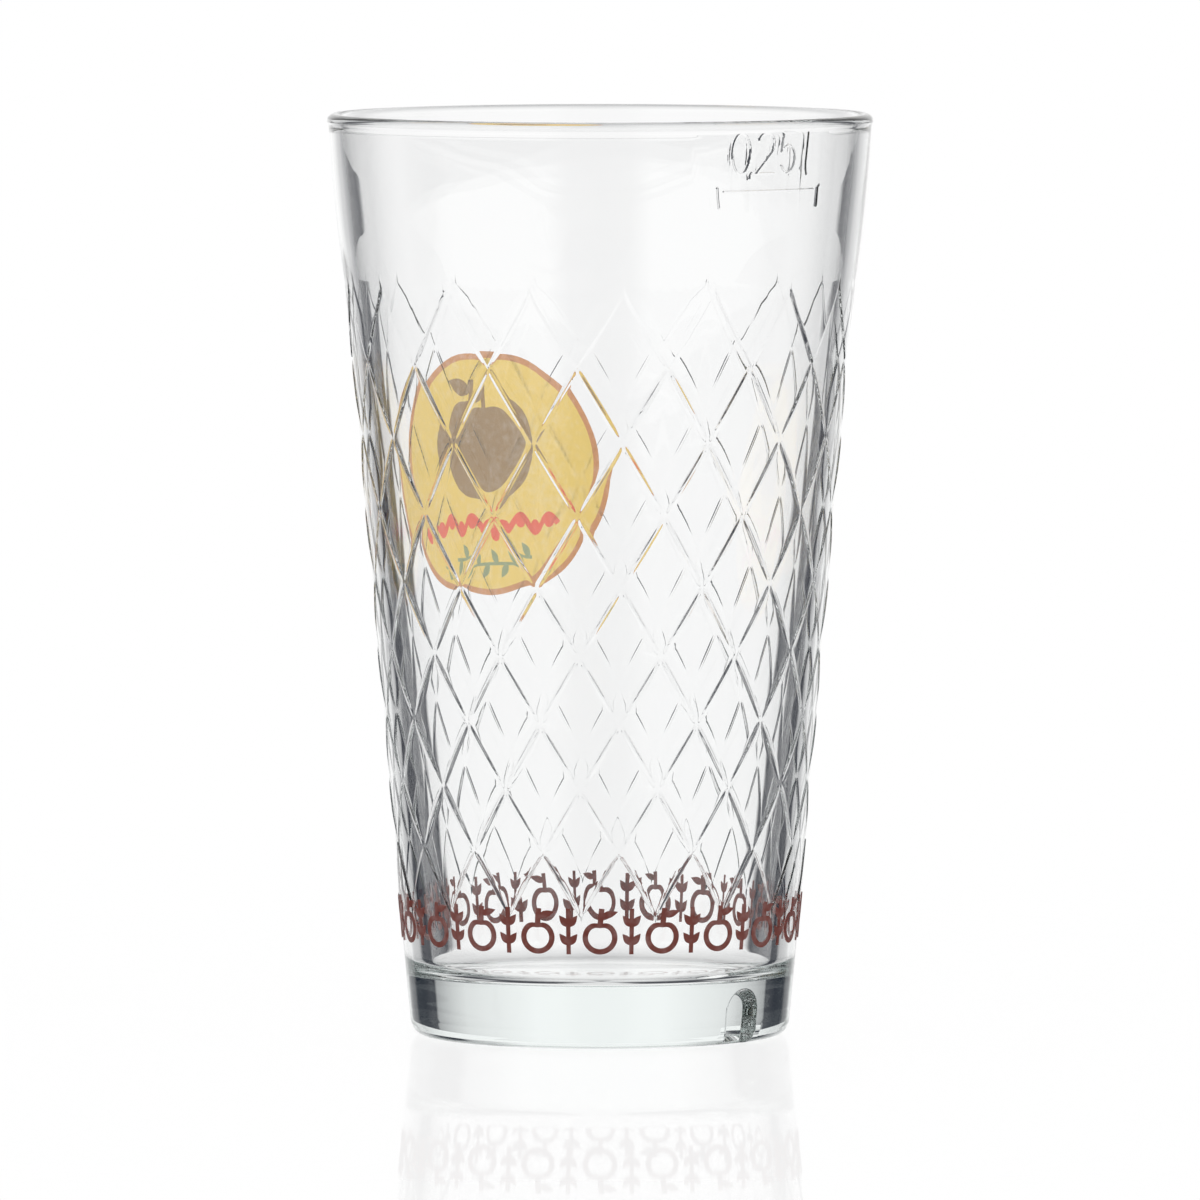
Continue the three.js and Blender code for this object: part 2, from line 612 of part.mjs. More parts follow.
function addLabel() {
  const reach = LABEL_HEIGHT / 2 + 1;
  const shell = wallShell(
    [LABEL_CENTRE_HEIGHT - reach, LABEL_CENTRE_HEIGHT + reach],
    PRINT_CLEARANCE,
    PRINT_CLEARANCE + PRINT_THICKNESS
  );
  const layer = (shapes) => wallPrisms(shapes, LABEL_ANGLE, LABEL_CENTRE_HEIGHT);
  const addLayer = (name, solid, material) => addPiece(name, toGeometry(solid.intersect(shell)), material);
  const openings = [...labelApple(PRINT_GAP), ...labelVine(PRINT_GAP), ...labelTwig(PRINT_GAP)];
  const inside = layer([labelOval(LABEL_BORDER_WIDTH)]);
  const ground = layer([labelOval(LABEL_BORDER_WIDTH + PRINT_GAP)]).subtract(layer(openings));
  addLayer('label_border', layer([labelOval(0)]).subtract(inside), rustEnamel);
  addLayer('label_ground', ground, ochreEnamel);
  addLayer('label_apple', layer(labelApple(0)), sepiaEnamel);
  addLayer('label_vine', layer(labelVine(0)), redEnamel);
  addLayer('label_twig', layer(labelTwig(0)), greenEnamel);
}

// Apples and sprigs take turns around the foot
function addFrieze() {
  const print = (name, shapes, angle) => addPiece(
    name,
    bentMotif(shapes, angle, FRIEZE_BASE_HEIGHT, PRINT_CLEARANCE, PRINT_THICKNESS),
    rustEnamel
  );
  for (let unit = 0; unit < FRIEZE_UNITS; unit += 1) {
    const number = String(unit + 1).padStart(2, '0');
    const angle = 2 * Math.PI * unit / FRIEZE_UNITS;
    print(`foot_apple_${number}`, friezeApple(), angle);
    print(`foot_sprig_${number}`, friezeSprig(), angle + Math.PI / FRIEZE_UNITS);
  }
}

addPiece('glass_body', toGeometry(glassBody()), glassMaterial);
addLabel();
addFrieze();

export default part;
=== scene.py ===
"""Ribbed apple wine tumbler: a pressed glass body with enamel prints, on a white studio table.

Metres, +Z up, front of the glass towards -Y. Angles around the glass start at the front and grow
towards +X. Flat motifs are drawn in metres too, with X along the wall and Y up.
"""

import math

import bmesh
import bpy
from bpy.props import FloatProperty, FloatVectorProperty, IntProperty, PointerProperty
from mathutils import Matrix, Vector, geometry


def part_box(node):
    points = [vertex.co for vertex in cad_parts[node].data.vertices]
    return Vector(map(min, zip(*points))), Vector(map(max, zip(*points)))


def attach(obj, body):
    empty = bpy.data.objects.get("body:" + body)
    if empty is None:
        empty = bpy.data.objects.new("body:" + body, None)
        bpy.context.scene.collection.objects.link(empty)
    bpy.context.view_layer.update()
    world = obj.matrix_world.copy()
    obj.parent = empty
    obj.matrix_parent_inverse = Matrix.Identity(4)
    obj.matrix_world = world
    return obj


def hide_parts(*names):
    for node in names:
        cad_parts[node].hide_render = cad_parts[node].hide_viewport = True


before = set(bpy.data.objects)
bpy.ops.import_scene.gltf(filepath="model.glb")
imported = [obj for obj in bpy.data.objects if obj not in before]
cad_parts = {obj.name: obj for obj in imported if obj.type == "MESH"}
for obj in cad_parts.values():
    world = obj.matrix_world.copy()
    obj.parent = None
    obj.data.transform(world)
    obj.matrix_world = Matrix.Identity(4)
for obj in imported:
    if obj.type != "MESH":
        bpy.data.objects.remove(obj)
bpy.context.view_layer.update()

bl_info = {
    "name": "Ribbed Apple Wine Tumbler",
    "version": (1, 0, 0),
    "blender": (4, 5, 0),
    "location": "View3D > Sidebar > Tumbler",
    "description": "Pressed glass tumbler with crossing ribs, a fill mark and enamel prints",
    "category": "Add Mesh",
}

MM = 0.001
GLASS_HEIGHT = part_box("glass_body")[1].z

# Distances at which the fields' and the bands' points merge, a cut touches a point, and a point
# lies on a level
FIELD_MERGE = 0.002 * MM
BAND_MERGE = 0.001 * MM
CUT_DISTANCE = 0.0001 * MM
LEVEL_TOLERANCE = 0.01 * MM


def length(name, description, default, low=0.0):
    return FloatProperty(
        name=name, description=description, default=default, min=low, unit="LENGTH", precision=5
    )


def angle(name, description, degrees):
    return FloatProperty(
        name=name, description=description, default=math.radians(degrees), subtype="ANGLE"
    )


def count(name, description, default, low=1):
    return IntProperty(name=name, description=description, default=default, min=low)


def colour(name, description, default):
    return FloatVectorProperty(
        name=name, description=description, default=default, subtype="COLOR", size=3, min=0, max=1
    )


class TumblerGlassSettings(bpy.types.PropertyGroup):
    """Sizes of the pressed glass body"""
    height: length("Height", "Height of the glass", GLASS_HEIGHT)
    foot_radius: length("Foot Radius", "Outer radius at the resting face", 24.75 * MM)
    foot_band: length("Foot Band", "Height where the ribs begin", 17.4 * MM)
    foot_flare: length("Foot Flare", "Growth of the radius over the foot band", 1.62 * MM)
    rib_flare: length("Rib Flare", "Growth of the radius over the ribbed zone", 7.13 * MM)
    rim_band: length("Rim Band", "Height of the smooth band under the rim", 22 * MM)
    rim_flare: length("Rim Flare", "Growth of the radius over the rim band", 2.3 * MM)
    rim_swell: length("Rim Swell", "Swell of the rim band", 0.45 * MM)
    lip_thickness: length("Lip Thickness", "Thickness of the rounded lip", 1.96 * MM)
    lip_depth: length("Lip Depth", "Drop from the rim to the straight inner wall", 2.2 * MM)
    neck_drop: length("Neck Drop", "Drop from the rim to the neck", 1.6 * MM)
    neck_inset: length("Neck Inset", "Inset of the neck under the lip", 0.2 * MM)
    heel_rounding: length("Heel Rounding", "Radius between wall and resting face", 1.6 * MM)
    floor_height: length("Floor Height", "Height of the inner floor", 8.1 * MM)
    floor_wall: length("Floor Wall", "Wall thickness beside the inner floor", 3.5 * MM)
    floor_fillet: length("Floor Fillet", "Radius between wall and inner floor", 2.6 * MM)
    standing_ring: length("Standing Ring", "Width of the ring that the glass rests on", 3.95 * MM)
    recess_depth: length("Recess Depth", "Depth of the underside recess", 1.1 * MM)
    recess_slope: length("Recess Slope", "Width of the recess's slope", 2.2 * MM)
    columns: count("Rib Columns", "Ribs that lean each way", 17)
    rows: count("Rib Rows", "Rows of fields between the ribs", 9)
    turn: angle("Rib Turn", "Turn of the first rib crossing from the front", 5.24)
    dish_depth: length("Dish Depth", "Depth of the dished fields", 0.09 * MM)
    rib_height: length("Rib Height", "Height of the rounded ribs above the fields", 0.145 * MM)
    rib_half_width: length("Rib Half Width", "Half of a rib's width", 0.4 * MM)
    notch_angle: angle("Notch Angle", "Place of the index notch around the foot", 47.8)
    notch_width: length("Notch Width", "Width of the index notch", 5.8 * MM)
    notch_height: length("Notch Height", "Height of the index notch", 7.3 * MM)
    notch_depth: length("Notch Depth", "Depth of the index notch", 1.8 * MM)
    notch_flank: length("Notch Flank", "Width of the index notch's sloping flank", 0.8 * MM)
    mark_angle: angle("Mark Angle", "Place of the fill mark's middle around the rim", 39.6)
    mark_drop: length("Mark Drop", "Drop from the rim to the fill line", 9.1 * MM)
    mark_relief: length("Mark Relief", "Height of the moulded strokes", 0.13 * MM)
    mark_stroke: length("Mark Stroke", "Width of the moulded strokes", 0.44 * MM)
    tint: colour("Tint", "Colour that thick glass takes on", (0.86, 0.93, 0.91))


class TumblerLabelSettings(bpy.types.PropertyGroup):
    """Sizes and colours of the oval label"""
    centre_angle: angle("Angle", "Place of the label around the glass", 211.5)
    centre_height: length("Centre Height", "Height of the label's centre", 71.6 * MM)
    width: length("Width", "Width of the label along the wall", 35.5 * MM)
    height: length("Height", "Height of the label", 32.4 * MM)
    border: length("Border", "Width of the label's border", 0.9 * MM)
    ochre: colour("Ochre", "Ground of the label", (0.93, 0.7, 0.2))
    rust: colour("Rust", "Border of the label", (0.7, 0.34, 0.15))
    sepia: colour("Sepia", "Apple of the label", (0.42, 0.28, 0.14))
    red: colour("Red", "Vine of the label", (0.9, 0.17, 0.1))
    green: colour("Green", "Twig of the label", (0.36, 0.42, 0.24))


class TumblerFriezeSettings(bpy.types.PropertyGroup):
    """Sizes and colour of the frieze around the foot"""
    units: count("Units", "Apples around the foot, with as many sprigs between them", 20)
    base_height: length("Base Height", "Height of the frieze's lower edge", 12.6 * MM)
    apple_width: length("Apple Width", "Width of an apple", 4.5 * MM)
    apple_height: length("Apple Height", "Height of an apple without its stem", 4.4 * MM)
    tall_height: length("Tall Height", "Height of a sprig and of an apple with its stem", 6 * MM)
    stroke: length("Stroke", "Width of the outlines", 0.7 * MM)
    rust: colour("Rust", "Colour of the frieze", (0.14, 0.022, 0.012))


class TumblerStageSettings(bpy.types.PropertyGroup):
    """Camera, table and lights"""
    camera_distance: length("Camera Distance", "Distance from the aim to the camera", 2.117)
    camera_pitch: angle("Camera Pitch", "Angle by which the camera looks down", 3.749)
    aim_height: length("Aim Height", "Height that the camera looks at", 57.05 * MM)
    table_radius: length("Table Radius", "Radius of the white table", 0.5)
    card_distance: length("Card Distance", "Distance of the dark cards from the glass", 2.4)
    card_bottom: FloatProperty(name="Card Bottom", description="Lower end of the cards", default=-2.4)
    card_top: FloatProperty(name="Card Top", description="Upper end of the cards", default=1.6)


def lerp(low, high, share):
    return low + (high - low) * share


def smooth(share):
    """Eases a share from 0 to 1, and holds it there outside"""
    held = min(1, max(0, share))
    return held * held * (3 - 2 * held)


# Shares of a rib's length over which its crest rises under the upper crossing and fades again
CREST_RISE = 0.14
CREST_FADE = 0.5


def crest_share(along):
    """Height of a rib from its upper crossing to its lower one, where it sinks into the fields"""
    return smooth(along / CREST_RISE) * smooth((1 - along) / CREST_FADE)


class Wall:
    """The outer surface of the glass, worked out from the settings"""

    def __init__(self, glass):
        self.glass = glass
        self.zone_bottom = glass.foot_band
        self.zone_top = glass.height - glass.rim_band
        self.bottom_radius = glass.foot_radius + glass.foot_flare
        self.top_radius = self.bottom_radius + glass.rib_flare
        self.taper = glass.rib_flare / (self.zone_top - self.zone_bottom)
        self.lip_radius = self.top_radius + glass.rim_flare
        self.neck_radius = self.lip_radius - glass.neck_inset
        self.neck_height = glass.height - glass.neck_drop
        self.column_angle = 2 * math.pi / glass.columns
        self.row_shrink = math.log(self.top_radius / self.bottom_radius) / glass.rows
        side = self.top_radius * self.column_angle / 2
        drop = self.row_drop(0.5)
        self.field_width = 2 * side * drop / math.hypot(side, drop)

    def row_drop(self, row):
        """Half the height of a field around a row"""
        return self.row_height(row - 0.5) - self.row_height(row + 0.5)

    def row_radius(self, row):
        return self.top_radius * math.exp(-self.row_shrink * row)

    def row_height(self, row):
        return self.zone_top - (self.top_radius - self.row_radius(row)) / self.taper

    def row_at(self, height):
        radius = self.top_radius - self.taper * (self.zone_top - height)
        return math.log(self.top_radius / radius) / self.row_shrink

    def envelope(self, height):
        """Radius that the rib crests touch"""
        if height < self.zone_bottom:
            share = height / self.zone_bottom
            return self.glass.foot_radius + share * self.glass.foot_flare
        if height < self.zone_top:
            return self.top_radius - self.taper * (self.zone_top - height)
        share = min(1, (height - self.zone_top) / (self.neck_height - self.zone_top))
        straight = self.top_radius + share * (self.neck_radius - self.top_radius)
        return straight + 2 * share * (1 - share) * self.glass.rim_swell

    def relief(self, column, row):
        """Depth of the surface under the envelope at a place in the rib lattice"""
        along_a = (row + 2 * column) / 2
        along_b = (row - 2 * column) / 2
        field_row = math.floor(along_a) + math.floor(along_b) + 1
        if not 1 <= field_row < self.glass.rows:
            return 0.0
        a = along_a - math.floor(along_a)
        b = along_b - math.floor(along_b)
        dish = 16 * a * (1 - a) * b * (1 - b)
        width = self.field_width * self.row_radius(row) / self.top_radius
        from_a, from_b = min(a, 1 - a), min(b, 1 - b)
        edge = min(from_a, from_b) * width / self.glass.rib_half_width
        crest = (0.5 + 0.5 * math.cos(math.pi * min(1, edge))) * crest_share(
            b if from_a < from_b else a
        )
        return self.glass.dish_depth * dish + self.glass.rib_height * (1 - crest)

    def radius(self, around, height):
        if not self.zone_bottom < height < self.zone_top:
            return self.envelope(height)
        column = (around - self.glass.turn) / self.column_angle
        return self.envelope(height) - self.relief(column, self.row_at(height))

    def place(self, around, height, lift=0.0):
        radius = self.radius(around, height) + lift
        return Vector((radius * math.sin(around), -radius * math.cos(around), height))


class Socket:
    """A shader socket or number that Python's arithmetic turns into Math nodes"""

    def __init__(self, tree, value):
        self.tree = tree
        self.value = value

    def node(self, kind, settings=None, inputs=None, output=0):
        made = self.tree.nodes.new(kind)
        for name, value in (settings or {}).items():
            if name == "stops":
                ramp = made.color_ramp
                while len(ramp.elements) < len(value):
                    ramp.elements.new(0.5)
                for element, (position, tone) in zip(ramp.elements, value):
                    element.position = position
                    element.color = (tone, tone, tone, 1)
            else:
                setattr(made, name, value)
        for name, value in (inputs or {}).items():
            value = value.value if isinstance(value, Socket) else value
            if isinstance(value, bpy.types.NodeSocket):
                self.tree.links.new(value, made.inputs[name])
            else:
                made.inputs[name].default_value = value
        return Socket(self.tree, made.outputs[output])

    def maths(self, operation, *others, clamp=False):
        inputs = dict(enumerate((self, *others)))
        return self.node("ShaderNodeMath", {"operation": operation, "use_clamp": clamp}, inputs)

    def __add__(self, other):
        return self.maths("ADD", other)

    def __sub__(self, other):
        return self.maths("SUBTRACT", other)

    def __mul__(self, other):
        return self.maths("MULTIPLY", other)

    def __truediv__(self, other):
        return self.maths("DIVIDE", other)

    def __rsub__(self, other):
        return Socket(self.tree, other).maths("SUBTRACT", self)

    def clamped(self):
        return self.maths("ADD", 0.0, clamp=True)

    def between(self, low, high):
        return self.maths("GREATER_THAN", low) * self.maths("LESS_THAN", high)

    def larger(self, other):
        return self.maths("MAXIMUM", other)

    def mixed(self, low, high):
        """Blends two colours: a Mix node's colour sockets share their names, so they go by place"""
        inputs = {0: self, 6: (*low, 1), 7: (*high, 1)}
        return self.node("ShaderNodeMix", {"data_type": "RGBA"}, inputs, 2)


def new_material(name):
    material = bpy.data.materials.new(name)
    material.use_nodes = True
    tree = material.node_tree
    tree.nodes.clear()
    return material, Socket(tree, None)


def finish_material(base, shader, volume=None):
    output = base.tree.nodes.new("ShaderNodeOutputMaterial")
    base.tree.links.new(shader.value, output.inputs["Surface"])
    if volume:
        base.tree.links.new(volume.value, output.inputs["Volume"])


def glass_material(tint):
    """Clear glass with the faint waves of pressing, and its tint where it is thick"""
    material, base = new_material("clear pressed glass")
    place = base.node("ShaderNodeTexCoord", output="Object")
    waves = base.node("ShaderNodeTexNoise", {}, {"Vector": place, "Scale": 55.0, "Detail": 1.0})
    normal = base.node(
        "ShaderNodeBump", {}, {"Strength": 0.12, "Distance": 0.6 * MM, "Height": waves}
    )
    shader = base.node("ShaderNodeBsdfPrincipled", {}, {
        "Base Color": (1.0, 1.0, 1.0, 1.0),
        "Roughness": 0.0,
        "IOR": 1.52,
        "Transmission Weight": 1.0,
        "Normal": normal,
    })
    volume = base.node(
        "ShaderNodeVolumeAbsorption", {}, {"Color": (*tint, 1.0), "Density": 14.0}
    )
    finish_material(base, shader, volume)
    return material


# Middle and contrast of the noise that thins the enamel in dots and in clouds
DOT_MIDDLE, DOT_CONTRAST = 0.45, 1.6
CLOUD_MIDDLE, CLOUD_CONTRAST = 0.5, 1.2


def enamel_material(name, tone, pale):
    """Fired enamel: screen-printed dots of a paler tone, thin spots and a soft gloss"""
    material, base = new_material(name)
    place = base.node("ShaderNodeTexCoord", output="Object")
    grain = base.node("ShaderNodeTexNoise", {}, {"Vector": place, "Scale": 900.0, "Detail": 2.0})
    cloud = base.node("ShaderNodeTexNoise", {}, {"Vector": place, "Scale": 90.0, "Detail": 2.0})
    dots = (grain - DOT_MIDDLE) * DOT_CONTRAST
    clouds = (cloud - CLOUD_MIDDLE) * CLOUD_CONTRAST
    shade = (dots + clouds).clamped().mixed(tone, pale)
    normal = base.node(
        "ShaderNodeBump", {}, {"Strength": 0.25, "Distance": 0.04 * MM, "Height": grain}
    )
    shader = base.node("ShaderNodeBsdfPrincipled", {}, {
        "Base Color": shade,
        "Roughness": 0.42,
        "Normal": normal,
    })
    finish_material(base, shader)
    return material


def paler(tone, share):
    return tuple(lerp(channel, 1.0, share) for channel in tone)


def new_piece(name, mesh, material, nodes):
    piece = bpy.data.objects.new(name, mesh)
    bpy.context.scene.collection.objects.link(piece)
    mesh.materials.append(material)
    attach(piece, "root")
    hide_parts(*nodes)
    return piece


def mesh_from(work, name, sharp_degrees=None):
    """Finishes a bmesh as a smooth mesh"""
    bmesh.ops.recalc_face_normals(work, faces=work.faces)
    mesh = bpy.data.meshes.new(name)
    work.to_mesh(mesh)
    work.free()
    mesh.shade_smooth()
    if sharp_degrees:
        mesh.set_sharp_from_angle(angle=math.radians(sharp_degrees))
    return mesh


# Shares of a field's edge where its grid lines run: close together over the ribs
RIB_STEPS = (0.0, 0.012, 0.024, 0.036, 0.05, 0.1, 0.2, 0.34, 0.5)
FIELD_STEPS = RIB_STEPS + tuple(1 - share for share in RIB_STEPS[-2::-1])
# Margin in rows that keeps the lattice's first and last points inside its own fields
ROW_MARGIN = 1e-6


def ribbed_column(wall):
    """One column of fields, row under row, as flat grids bent onto the cone"""
    work = bmesh.new()
    cells = len(FIELD_STEPS) - 1
    rows = wall.glass.rows
    for row in range(rows + 1):
        made = bmesh.ops.create_grid(work, x_segments=cells, y_segments=cells, size=0.5)
        centre = 0.5 if row % 2 == 0 else 0.0
        for vert in made["verts"]:
            a = FIELD_STEPS[round((vert.co.x + 0.5) * cells)]
            b = FIELD_STEPS[round((vert.co.y + 0.5) * cells)]
            vert.co = (centre + (a - b) / 2, row + a + b - 1, 0)
    for level, side in ((0, -1), (rows, 1)):
        everything = work.verts[:] + work.edges[:] + work.faces[:]
        bmesh.ops.bisect_plane(
            work, geom=everything, dist=CUT_DISTANCE, plane_co=(0, level, 0),
            plane_no=(0, side, 0), clear_outer=True
        )
    for vert in work.verts:
        column, row = vert.co.x, vert.co.y
        around = wall.glass.turn + column * wall.column_angle
        inner_row = min(max(row, ROW_MARGIN), rows - ROW_MARGIN)
        radius = wall.row_radius(row) - wall.relief(column, inner_row)
        vert.co = (radius * math.sin(around), -radius * math.cos(around), wall.row_height(row))
    return work


def arc(centre_x, centre_y, radius, start, stop, steps):
    """Points of an arc between two angles in degrees"""
    points = []
    for step in range(steps + 1):
        turn = math.radians(lerp(start, stop, step / steps))
        points.append((centre_x + radius * math.cos(turn), centre_y + radius * math.sin(turn)))
    return points


def line_points(start, stop, steps):
    """Even points of a line, without its start"""
    return [
        (lerp(start[0], stop[0], step / steps), lerp(start[1], stop[1], step / steps))
        for step in range(1, steps + 1)
    ]


# Radius of the small disc that closes a profile in the middle, and steps over the rim band
CENTRE_RADIUS = 0.4 * MM
RIM_STEPS = 24


def upper_profile(wall):
    """Radius and height from the top of the ribs, over the lip and down to the middle of the floor"""
    glass = wall.glass
    half = glass.lip_thickness / 2
    points = []
    for step in range(1, RIM_STEPS + 1):
        height = lerp(wall.zone_top, wall.neck_height, step / RIM_STEPS)
        points.append((wall.envelope(height), height))
    points += arc(wall.lip_radius - half, glass.height - half, half, -30, 180, steps=14)
    inner_top = (wall.lip_radius - glass.lip_thickness, glass.height - glass.lip_depth)
    floor_radius = wall.envelope(glass.floor_height) - glass.floor_wall
    slope = (inner_top[0] - floor_radius) / (inner_top[1] - glass.floor_height)
    fillet = glass.floor_fillet
    fillet_x = floor_radius - fillet * (1 - slope)
    fillet_points = arc(fillet_x, glass.floor_height + fillet, fillet, 0, -90, steps=10)
    points += [inner_top]
    points += line_points(inner_top, fillet_points[0], steps=10)
    points += fillet_points[1:]
    points += line_points(fillet_points[-1], (CENTRE_RADIUS, glass.floor_height), steps=7)
    return points


def lower_profile(wall):
    """Radius and height from the bottom of the ribs, around the heel and to the middle underneath"""
    glass = wall.glass
    heel_x = glass.foot_radius - glass.heel_rounding
    recess_x = heel_x - glass.standing_ring
    recess_edge = (recess_x - glass.recess_slope, glass.recess_depth)
    wall_bottom = (wall.envelope(glass.heel_rounding), glass.heel_rounding)
    points = line_points((wall.bottom_radius, wall.zone_bottom), wall_bottom, steps=16)
    points += arc(heel_x, glass.heel_rounding, glass.heel_rounding, 0, -90, steps=8)[1:]
    points += line_points(points[-1], (recess_x, 0), steps=3)
    points += line_points((recess_x, 0), recess_edge, steps=4)
    points += line_points(recess_edge, (CENTRE_RADIUS, glass.recess_depth), steps=6)
    return points


def extrude_rings(work, ring, profile):
    """Grows a ring of edges through the points of a profile and closes the last one"""
    for radius, height in profile:
        grown = bmesh.ops.extrude_edge_only(work, edges=ring)["geom"]
        ring = [item for item in grown if isinstance(item, bmesh.types.BMEdge)]
        for vert in (item for item in grown if isinstance(item, bmesh.types.BMVert)):
            around = math.atan2(vert.co.x, -vert.co.y)
            vert.co = (radius * math.sin(around), -radius * math.cos(around), height)
    bmesh.ops.contextual_create(work, geom=ring)


def glass_shell(wall):
    """Closed mesh of the whole body before its fill mark and notch"""
    work = ribbed_column(wall)
    bmesh.ops.spin(
        work, geom=work.verts[:] + work.edges[:] + work.faces[:], cent=(0, 0, 0),
        axis=(0, 0, 1), angle=2 * math.pi, steps=wall.glass.columns, use_merge=False,
        use_duplicate=True
    )
    bmesh.ops.remove_doubles(work, verts=work.verts, dist=FIELD_MERGE)
    bmesh.ops.dissolve_degenerate(work, edges=work.edges, dist=CUT_DISTANCE)
    for height, profile in (
        (wall.zone_top, upper_profile(wall)), (wall.zone_bottom, lower_profile(wall))
    ):
        ring = [
            edge for edge in work.edges if edge.is_boundary
            and all(abs(vert.co.z - height) < LEVEL_TOLERANCE for vert in edge.verts)
        ]
        extrude_rings(work, ring, profile)
    bmesh.ops.remove_doubles(work, verts=work.verts, dist=BAND_MERGE)
    return work


def oval_path(centre, width, height, start, stop, steps):
    """Points of an oval's stretch between two angles in degrees"""
    return [
        Vector((
            centre[0] + width / 2 * math.cos(math.radians(lerp(start, stop, step / steps))),
            centre[1] + height / 2 * math.sin(math.radians(lerp(start, stop, step / steps)))
        ))
        for step in range(steps + 1)
    ]


def mark_strokes():
    """Centre lines of the fill mark in millimetres: the line's middle is the origin"""
    end = 8.6
    line = [Vector((-end + 1.0, 0)), Vector((end - 1.0, 0))]
    left = [Vector((-end, 0.5)), Vector((-end + 0.15, -0.9)), Vector((-end + 0.35, -2.1))]
    right = [Vector((end + 0.35, 0.5)), Vector((end + 0.05, 0.2)), Vector((end, -2.2))]
    zero = oval_path((-5.2, 4.9), 2.7, 5.3, 0, 360, 24)
    comma = [Vector((-3.45, 2.6)), Vector((-3.75, 2.1)), Vector((-3.8, 1.6))]
    two = oval_path((-1.3, 6.1), 2.6, 2.9, 165, -25, 12)
    two += [Vector((-0.25, 5.1)), Vector((-2.75, 2.3)), Vector((0.0, 2.3))]
    five = [Vector((3.6, 7.5)), Vector((1.55, 7.5)), Vector((1.25, 5.0))]
    five += oval_path((2.35, 4.1), 2.5, 3.5, 140, -150, 16)
    litre = [Vector((6.5, 8.9)), Vector((6.15, 8.6)), Vector((6.1, 8.0)), Vector((5.75, 3.4))]
    litre += [Vector((5.8, 2.6)), Vector((6.0, 2.0))]
    return [line, left, right, zero, comma, two, five, litre]


def stroke_distance(point, strokes):
    """Distance from a point to the nearest centre line"""
    nearest = math.inf
    for stroke in strokes:
        for start, stop in zip(stroke, stroke[1:]):
            span = stop - start
            share = (point - start).dot(span) / span.length_squared
            on_line = start + min(max(share, 0), 1) * span
            nearest = min(nearest, (point - on_line).length)
    return nearest


def refine(work, near, rounds):
    """Halves the faces that a test picks, and gives back the corners of the fine ones"""
    for _ in range(rounds):
        edges = {edge for face in work.faces if near(face) for edge in face.edges}
        bmesh.ops.subdivide_edges(work, edges=list(edges), cuts=1, use_grid_fill=True)
    return {vert for face in work.faces if near(face) for vert in face.verts}


# Depth under the envelope down to which a face belongs to the outer surface
OUTER_SKIN = 1.9 * MM


def near_place(wall, around, low, high, reach):
    """A test for outer faces around a place, between two heights"""
    half_angle = reach / wall.envelope(low)

    def near(face):
        corner = face.verts[0].co
        if not low < corner.z < high:
            return False
        if abs(math.atan2(corner.x, -corner.y) - around) > half_angle:
            return False
        return math.hypot(corner.x, corner.y) > wall.envelope(corner.z) - OUTER_SKIN

    return near


# The finely cut patch around the fill mark: its reach under the line and to each side, and the
# reach of the finest part beside a stroke, in stroke widths
PATCH_BELOW = 3.2 * MM
PATCH_SIDE = 10.2 * MM
STROKE_REACH = 0.7


def raise_fill_mark(work, wall):
    """Cuts the rim band finely around the mark and lifts its strokes"""
    glass = wall.glass
    line_height = glass.height - glass.mark_drop
    mark_radius = wall.envelope(line_height)
    near = near_place(
        wall, glass.mark_angle, line_height - PATCH_BELOW, wall.neck_height, PATCH_SIDE
    )
    strokes = [[point * MM for point in stroke] for stroke in mark_strokes()]

    def to_stroke(point):
        around = math.atan2(point.x, -point.y) - glass.mark_angle
        return stroke_distance(Vector((around * mark_radius, point.z - line_height)), strokes)

    def beside(face):
        reach = glass.mark_stroke * STROKE_REACH
        return near(face) and to_stroke(face.calc_center_median()) < reach

    refine(work, near, rounds=2)
    for vert in refine(work, beside, rounds=2):
        distance = to_stroke(vert.co) / (glass.mark_stroke / 2)
        if distance < 1:
            lift = glass.mark_relief * (0.5 + 0.5 * math.cos(math.pi * distance))
            vert.co += Vector((vert.co.x, vert.co.y, 0)).normalized() * lift


# Margin of the finely cut patch around the index notch
NOTCH_MARGIN = 1 * MM


def sink_notch(work, wall):
    """Presses the arched index notch into the foot"""
    glass = wall.glass
    half = glass.notch_width / 2
    near = near_place(
        wall, glass.notch_angle, -NOTCH_MARGIN, glass.notch_height + NOTCH_MARGIN,
        half + NOTCH_MARGIN
    )
    for vert in refine(work, near, rounds=3):
        around = math.atan2(vert.co.x, -vert.co.y) - glass.notch_angle
        place = Vector((around * glass.foot_radius, max(0, vert.co.z - glass.notch_height + half)))
        sink = glass.notch_depth * smooth((half - place.length) / glass.notch_flank)
        radius = math.hypot(vert.co.x, vert.co.y)
        scale = min(1, (wall.envelope(vert.co.z) - sink) / radius)
        vert.co = (vert.co.x * scale, vert.co.y * scale, vert.co.z)


def oval(width, height, steps, centre=(0, 0)):
    return oval_path(centre, width, height, 0, 360, steps)[:-1]


# The dimple at an apple's top: its depth as a share of the radius, and its width in radians
DIMPLE_DEPTH = 0.16
DIMPLE_WIDTH = 0.4
# Height of an apple's dimple over its middle, as a share of half its height
CROWN_SHARE = 0.84


def apple_outline(width, height, centre, steps=48):
    """Round apple with a dimple at the top"""
    points = []
    for step in range(steps):
        turn = 2 * math.pi * (step + 0.5) / steps
        from_top = math.atan2(math.cos(turn), math.sin(turn))
        swell = 1 - DIMPLE_DEPTH * math.exp(-((from_top / DIMPLE_WIDTH) ** 2))
        points.append(Vector((
            centre[0] + width / 2 * swell * math.cos(turn),
            centre[1] + height / 2 * swell * math.sin(turn)
        )))
    return points


# Power under 1 that moves a leaf's widest place towards its stem
LEAF_POWER = 0.8


